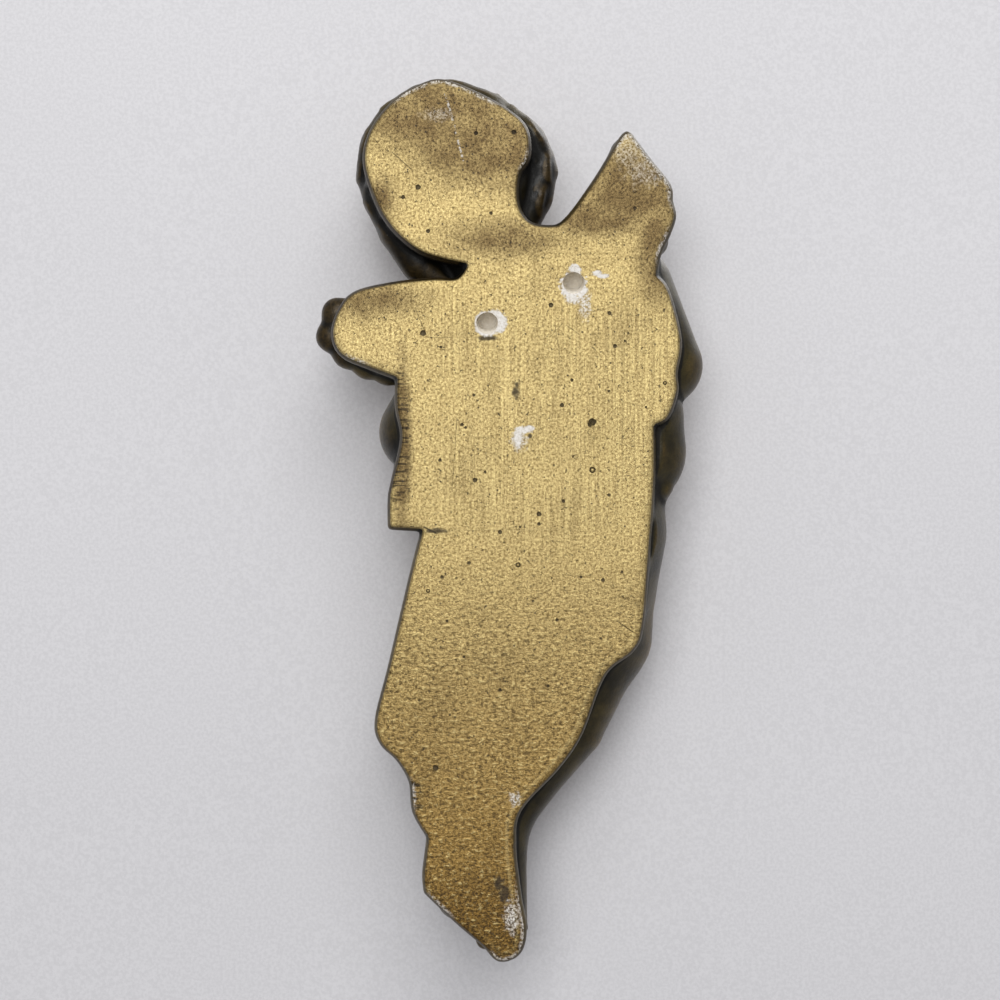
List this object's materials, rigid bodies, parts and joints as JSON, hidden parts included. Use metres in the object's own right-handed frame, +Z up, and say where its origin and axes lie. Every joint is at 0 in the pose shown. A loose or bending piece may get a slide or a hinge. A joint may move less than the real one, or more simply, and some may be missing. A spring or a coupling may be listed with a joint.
{
  "type": "cherub wall plaque",
  "caption": "praying winged cherub in half relief, cast solid in plaster with a flat back and blind nail holes to hang it on a wall",
  "frame": {"origin": "on the flat back, halfway between the two nail holes that it hangs from", "axes": "+Z up the wall, +Y into the wall, -Y out of the carved front, +X to the right of someone facing the front"},
  "size_m": [0.1261, 0.0501, 0.285],
  "materials": {
    "gilt_plaster": "worn bronze-gold paint on plaster"
  },
  "bodies": {
    "root": {"cherub_plaque": "gilt_plaster"}
  },
  "joints": []
}
